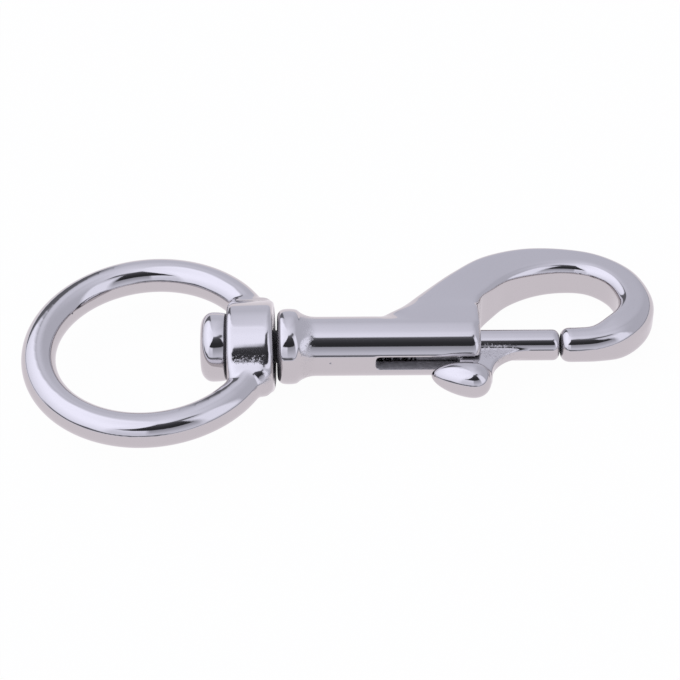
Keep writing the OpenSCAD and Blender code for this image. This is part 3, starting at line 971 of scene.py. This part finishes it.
class SNAPHOOK_OT_bolt(Operator):
    """Build the sliding bolt with its thumb stalk and knob"""
    bl_idname = "snaphook.bolt"
    bl_label = "Bolt"
    bl_options = {"REGISTER", "UNDO"}

    def execute(self, context):
        s = settings()
        bolt = s.bolt
        back, front, r = BOLT_LO.x, BOLT_HI.x, BOLT_HI.y
        obj = turned_bar("polished_bolt", [(back, r), (front, r)],
                         [(back, r, bolt.back_edge), (front, r, bolt.front_edge)])
        stalk_back = back + bolt.tail_len
        foot = stalk_back + bolt.stalk_len + STALK_SPARE * MM
        half = bolt.stalk_w / 2
        stalk = block("stalk", (stalk_back, -bolt.knob_reach, -half), (foot, -r, half))
        edit(stalk)
        bpy.ops.mesh.select_mode(type="FACE")
        self.pick_face(stalk, Vector((0, 1, 0)))
        bpy.ops.mesh.extrude_region_move(TRANSFORM_OT_translate={"value": (0, r * STALK_INTO, 0)})
        self.pick_face(stalk, Vector((1, 0, 0)), lambda c: c.y > -r)
        bpy.ops.mesh.extrude_region_move(
            TRANSFORM_OT_translate={"value": (bolt.hollow_r + STALK_SPARE * MM, 0, 0)})
        pick_edges(stalk, lambda a, b: all(
            abs(p.x - foot) < CLOSE and abs(p.y + r) < CLOSE for p in (a, b)))
        bpy.ops.mesh.bevel(offset=bolt.hollow_r, segments=HOLLOW_STEPS, affect="EDGES")
        pick_edges(stalk, lambda a, b: min(a.x, b.x) > foot - CLOSE and max(a.y, b.y) < -CLOSE
                   and abs(a.z - b.z) < CLOSE and a.z * b.z > 0)
        bpy.ops.mesh.bevel(offset=bolt.stalk_edge, segments=STALK_STEPS, affect="EDGES")
        done(stalk)
        full = bolt.knob_len * KNOB_POINT
        short = bolt.knob_len - full
        rings = [self.knob_ring(-full * cos(radians(a)), full, POINTED)
                 for a in range(3, 90, KNOB_STEP)]
        rings += [self.knob_ring(short * sin(radians(a)), short, BLUNT)
                  for a in range(0, 89, KNOB_STEP)]
        knob = turned_bar("knob", rings)
        place(knob, (stalk_back + bolt.stalk_len - short * cos(bolt.knob_tilt), -bolt.knob_reach, 0),
              (0, 0, -bolt.knob_tilt))
        combine(obj, [("UNION", stalk), ("UNION", knob)])
        skin(obj, bolt.skin)
        saddle = Vector((foot + SADDLE_ON * MM, -r, half))
        soften(obj, SADDLE_PASSES, (saddle, SADDLE_REACH * MM))
        steel = polished_steel(
            "Polished bolt steel", s.finish.steel, s.finish, self.dull, self.painted_shade, self.cast)
        finish_piece(obj, steel, BOLT, "polished_bolt", "bolt")
        return {"FINISHED"}

    @staticmethod
    def dull(n, x, y, z):
        """The tail and the stalk's sides inside the slot."""
        return n.both(n.falls(x, stalk_front() - 1.6, 0.15), n.rises(y, -4.6, 0.3))

    @staticmethod
    def painted_shade(n, x, y, z):
        """Painted shade: a near-black colour on the stalk's root inside the slot, and on the face that
        meets the hook's tip, where shade falls.
        """
        body = settings().body
        mouth = (BODY_LO.x + body.barrel_len - body.front_edge * 0.3) / MM
        root = n.both(n.between(x, mouth - 2.6, mouth, SOFT), n.rises(y, -5, 0.15))
        return either(n, root, n.rises(x, BOLT_HI.x / MM - 0.15, SOFT))

    @staticmethod
    def cast(n, x, y, z):
        """The saddle above the stalk, where it flows into the bolt."""
        stalk = stalk_front()
        saddle = n.both(n.between(x, stalk - 1.4, stalk + 3.9, 0.8), n.between(y, -5, -1.9, 0.4),
                        n.rises(z, 0, 0.4))
        return n.math("MULTIPLY", saddle, 2)

    @staticmethod
    def knob_ring(x, reach, power):
        """The knob's radius at x, on the side that is reach long."""
        return x, settings().bolt.knob_d / 2 * (1 - (abs(x) / reach) ** power) ** (1 / power)

    @staticmethod
    def pick_face(obj, normal, chosen=lambda c: True):
        """Selects the faces that look along a normal."""
        bpy.ops.mesh.select_mode(type="FACE")
        bpy.ops.mesh.select_all(action="DESELECT")
        mesh = bmesh.from_edit_mesh(obj.data)
        mesh.normal_update()
        for f in mesh.faces:
            f.select = f.normal.dot(normal) > 0.99 and chosen(f.calc_center_median())
        mesh.select_flush_mode()
        bmesh.update_edit_mesh(obj.data)


COIL_SIDES, COIL_STEPS = 10, 24      # sides of the wire and steps of one turn
END_TURNS = 2                        # turns that lie closed, one at each end
COIL_WAVE = 0.002                    # height in millimetres of the waves in the wire


class SNAPHOOK_OT_spring(Operator):
    """Build the bolt's spring: a wire ring drawn along a coil"""
    bl_idname = "snaphook.spring"
    bl_label = "Spring"
    bl_options = {"REGISTER", "UNDO"}

    def execute(self, context):
        s = settings()
        wire = s.spring.wire_d
        turns, steps = s.spring.turns, COIL_STEPS
        run = SPRING_HI.x - SPRING_LO.x - wire
        pitch = (run - END_TURNS * wire) / (turns - END_TURNS)
        coil_r = SPRING_HI.z - wire / 2
        obj = primitive(
            bpy.ops.mesh.primitive_circle_add, vertices=COIL_SIDES, radius=wire / 2,
            fill_type="NGON", location=(SPRING_LO.x + wire / 2, 0, coil_r), rotation=(pi / 2, 0, 0))
        bpy.ops.mesh.select_all(action="SELECT")
        for i in range(turns * steps):
            at = i / steps
            rise = (wire if at < 1 or at >= turns - 1 else pitch) / steps
            bpy.ops.mesh.extrude_region_move(TRANSFORM_OT_translate={"value": (rise, 0, 0)})
            bpy.ops.transform.rotate(
                value=2 * pi / steps, orient_axis="X", orient_type="GLOBAL", center_override=(0, 0, 0))
        done(obj, "spring_coil")
        bpy.ops.object.shade_smooth()
        steel = polished_steel("Spring wire steel", s.finish.coil, s.finish, self.dull, wave=COIL_WAVE)
        finish_piece(obj, steel, HOOK, "spring_wire", "bolt_spring")
        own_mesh(obj)
        return {"FINISHED"}

    @staticmethod
    def dull(n, x, y, z):
        """Plain wire all over."""
        return n.rises(x, 0, SOFT)


# --------------------------------------------------------------------- studio

# A ramp holds values up to 1, so light is halved in it and doubled behind it, with the
# tent's slight violet tint.
RAMP_SHARE = 2
TENT_TINT = (1.975, 2, 2.31)
WINDOW = (0.57, 0.57, 0.57)
PAPER = (0.9, 0.9, 0.9, 1)
WHITE = (1, 1, 1)
CAMERA_AT = (0.027244, -0.274328, 0.215592)      # metres
SENSOR = 36                                      # millimetres
NEAREST = 0.01                                   # metres


def tent_light(up, front, right):
    """The soft light tent that the steel mirrors, drawn by height above the floor and by
    bearing: 0 towards the camera and growing towards the hook's bow, in degrees."""
    world = bpy.data.worlds.new("Light tent")
    bpy.context.scene.world = world
    world.use_nodes = True
    n = Nodes(world.node_tree)
    d = n.add("ShaderNodeTexCoord").outputs["Generated"]
    height = n.math("MULTIPLY", n.math("ARCSINE", n.dot(d, up)), 180 / pi)
    bearing = n.math("MULTIPLY", n.math("ARCTAN2", n.dot(d, right), n.dot(d, front)), 180 / pi)
    away = n.math("ABSOLUTE", bearing)
    share = n.line(height, 1 / 180, 0.5)

    def by_height(*stops):
        return n.ramp(share, [((h + 90) / 180, (v / RAMP_SHARE,) * 3) for h, v in stops])

    # Walls of the tent: bright on the eye's side, dim on the bow's side and behind.
    dim = by_height((0, 0.64), (40, 0.64), (50, 0.67), (60, 0.75), (70, 0.84), (80, 0.98),
                    (90, 1.17))
    behind = by_height((0, 0.73), (30, 0.74), (37, 0.80), (49, 0.88), (60, 0.92), (73, 0.98),
                       (82, 1.08), (90, 1.18))
    bright = by_height((4, 0.98), (15, 1.12), (30, 1.26), (45, 1.38), (60, 1.38), (75, 1.3),
                       (90, 1.17))
    shaded = by_height((8, 0.92), (18, 0.86), (30, 0.95), (45, 1.12), (60, 1.28), (75, 1.26),
                       (90, 1.17))
    under = by_height((8, 0.82), (18, 0.72), (26, 0.59), (34, 0.48), (42, 0.44), (72, 1.1),
                      (90, 1.17))
    window = n.both(n.between(bearing, 43, 77, 4), n.between(height, 9, 62, 5))
    light = dim
    for mask, wall in (
            (n.rises(away, 163, 12), behind),
            (n.between(bearing, -158, -3, 7), bright),
            (n.between(bearing, -36, -3, 4), shaded),
            (n.between(bearing, -3, 44, 2), under),
            (window, WINDOW)):
        light = n.mix(mask, light, wall)

    # Dark things in the tent: the opening with its slanting side, the gap that runs on from
    # its top, the strip and the skirting along the floor, and the corner behind.
    top = n.math("MINIMUM", n.line(bearing, 1, 73), 77)
    opening = n.both(n.rises(height, 40.5, 1.5), n.rises(n.math("SUBTRACT", top, height), 0, 2),
                     n.falls(bearing, 38, 2))
    gap = n.both(n.between(bearing, 34, 72, 6), n.between(height, 69, 77, 2))
    brow = n.math("MAXIMUM", n.line(n.math("ABSOLUTE", n.line(bearing, 1, 50)), -0.25, 12), 8)
    strip = n.both(n.between(bearing, -90, 12, 5), n.rises(height, 1.5, 1.2),
                   n.rises(n.math("SUBTRACT", brow, height), 0, 2))
    skirting = n.both(n.between(height, 1.8, 4.2, 1.2), n.falls(away, 150, 8))
    slant = n.line(height, -0.9, -130)
    corner = n.both(n.rises(bearing, -168, 2), n.between(height, 3, 42, 2),
                    n.rises(n.math("SUBTRACT", slant, bearing), 0, 2))
    inside = by_height((40, 0.03), (55, 0.04), (66, 0.07), (77, 0.16))
    light = n.mix(opening, light, inside)
    for mask, value in ((skirting, 0.12), (gap, 0.08), (strip, 0.07), (corner, 0.08)):
        light = n.mix(mask, light, (value,) * 3)

    scale = n.add("ShaderNodeVectorMath", operation="MULTIPLY")
    n.join(light, scale.inputs[0])
    scale.inputs[1].default_value = TENT_TINT
    light = scale.outputs[0]

    lit = n.add("ShaderNodeBackground")
    n.join(light, lit.inputs["Color"])
    white = n.add("ShaderNodeBackground")
    white.inputs["Color"].default_value = (*WHITE, 1)
    path = n.add("ShaderNodeLightPath")
    choose = n.add("ShaderNodeMixShader")
    n.join(path.outputs["Is Camera Ray"], choose.inputs[0])
    n.join(lit.outputs[0], choose.inputs[1])
    n.join(white.outputs[0], choose.inputs[2])
    output = n.add("ShaderNodeOutputWorld")
    n.join(choose.outputs[0], output.inputs[0])


def floor_material(seen_in_steel, glow_share):
    """White paper that keeps the object's shadow and shows white to camera and steel."""
    material = bpy.data.materials.new("White paper")
    material.use_nodes = True
    n = Nodes(material.node_tree)
    paper = n.add("ShaderNodeBsdfDiffuse")
    paper.inputs["Color"].default_value = PAPER
    glow = n.add("ShaderNodeEmission")
    path = n.add("ShaderNodeLightPath")
    n.join(n.mix(path.outputs["Is Camera Ray"], tuple(seen_in_steel), WHITE),
           glow.inputs["Color"])
    seen = either(n, *[path.outputs[ray] for ray in (
        "Is Camera Ray", "Is Glossy Ray", "Is Transmission Ray")])
    choose = n.add("ShaderNodeMixShader")
    n.join(n.math("MULTIPLY", seen, glow_share), choose.inputs[0])
    n.join(paper.outputs[0], choose.inputs[1])
    n.join(glow.outputs[0], choose.inputs[2])
    output = n.add("ShaderNodeOutputMaterial")
    n.join(choose.outputs[0], output.inputs[0])
    return material


class SNAPHOOK_OT_studio(Operator):
    """Set up the floor, the light tent and the camera"""
    bl_idname = "snaphook.studio"
    bl_label = "Studio"
    bl_options = {"REGISTER", "UNDO"}

    def execute(self, context):
        s = settings()
        studio = s.studio
        rests_at = -s.eye.boss_d / 2
        deselect()
        bpy.ops.mesh.primitive_plane_add(
            size=studio.floor_size, location=(boss_middle(s.eye), 0, rests_at),
            rotation=(studio.lean, -studio.pitch, 0))
        floor = bpy.context.object
        floor.name = "floor"
        floor.data.materials.append(floor_material(studio.floor_white, studio.floor_glow))
        up = floor.rotation_euler.to_matrix() @ Vector((0, 0, 1))
        settle()
        right = up.cross(Vector((0, -1, 0))).normalized()
        front = right.cross(up).normalized()
        tent_light(up, front, right)

        camera = bpy.data.objects.new("Camera", bpy.data.cameras.new("Camera"))
        context.scene.collection.objects.link(camera)
        camera.data.lens = studio.lens
        camera.data.sensor_width = SENSOR
        camera.data.clip_start = NEAREST
        camera.location = CAMERA_AT
        camera.rotation_euler = (studio.tilt, 0, studio.swing)
        context.scene.camera = camera
        context.scene.view_settings.view_transform = "Standard"
        return {"FINISHED"}


# ---------------------------------------------------------------------- panel

STEPS = ("body", "eye", "stud", "bolt", "spring", "studio")


class SNAPHOOK_PT_panel(Panel):
    """Lists the steps that build the snap hook"""
    bl_idname = "SNAPHOOK_PT_panel"
    bl_label = "Snap Hook"
    bl_space_type = "VIEW_3D"
    bl_region_type = "UI"
    bl_category = "Snap Hook"

    def draw(self, context):
        for step in STEPS:
            self.layout.operator("snaphook." + step)


CLASSES = (
    EyeSizes, StudSizes, BodySizes, BowSizes, BoltSizes, SpringSizes, FinishSettings,
    StudioSettings, SnapHookSettings, SNAPHOOK_OT_body, SNAPHOOK_OT_eye, SNAPHOOK_OT_stud,
    SNAPHOOK_OT_bolt, SNAPHOOK_OT_spring, SNAPHOOK_OT_studio, SNAPHOOK_PT_panel)


def register():
    for item in CLASSES:
        bpy.utils.register_class(item)
    bpy.types.Scene.snap_hook = PointerProperty(type=SnapHookSettings)


def unregister():
    del bpy.types.Scene.snap_hook
    for item in reversed(CLASSES):
        bpy.utils.unregister_class(item)


def main():
    """Builds everything."""
    register()
    for step in STEPS:
        getattr(bpy.ops.snaphook, step)()


if __name__ == "__main__":
    main()
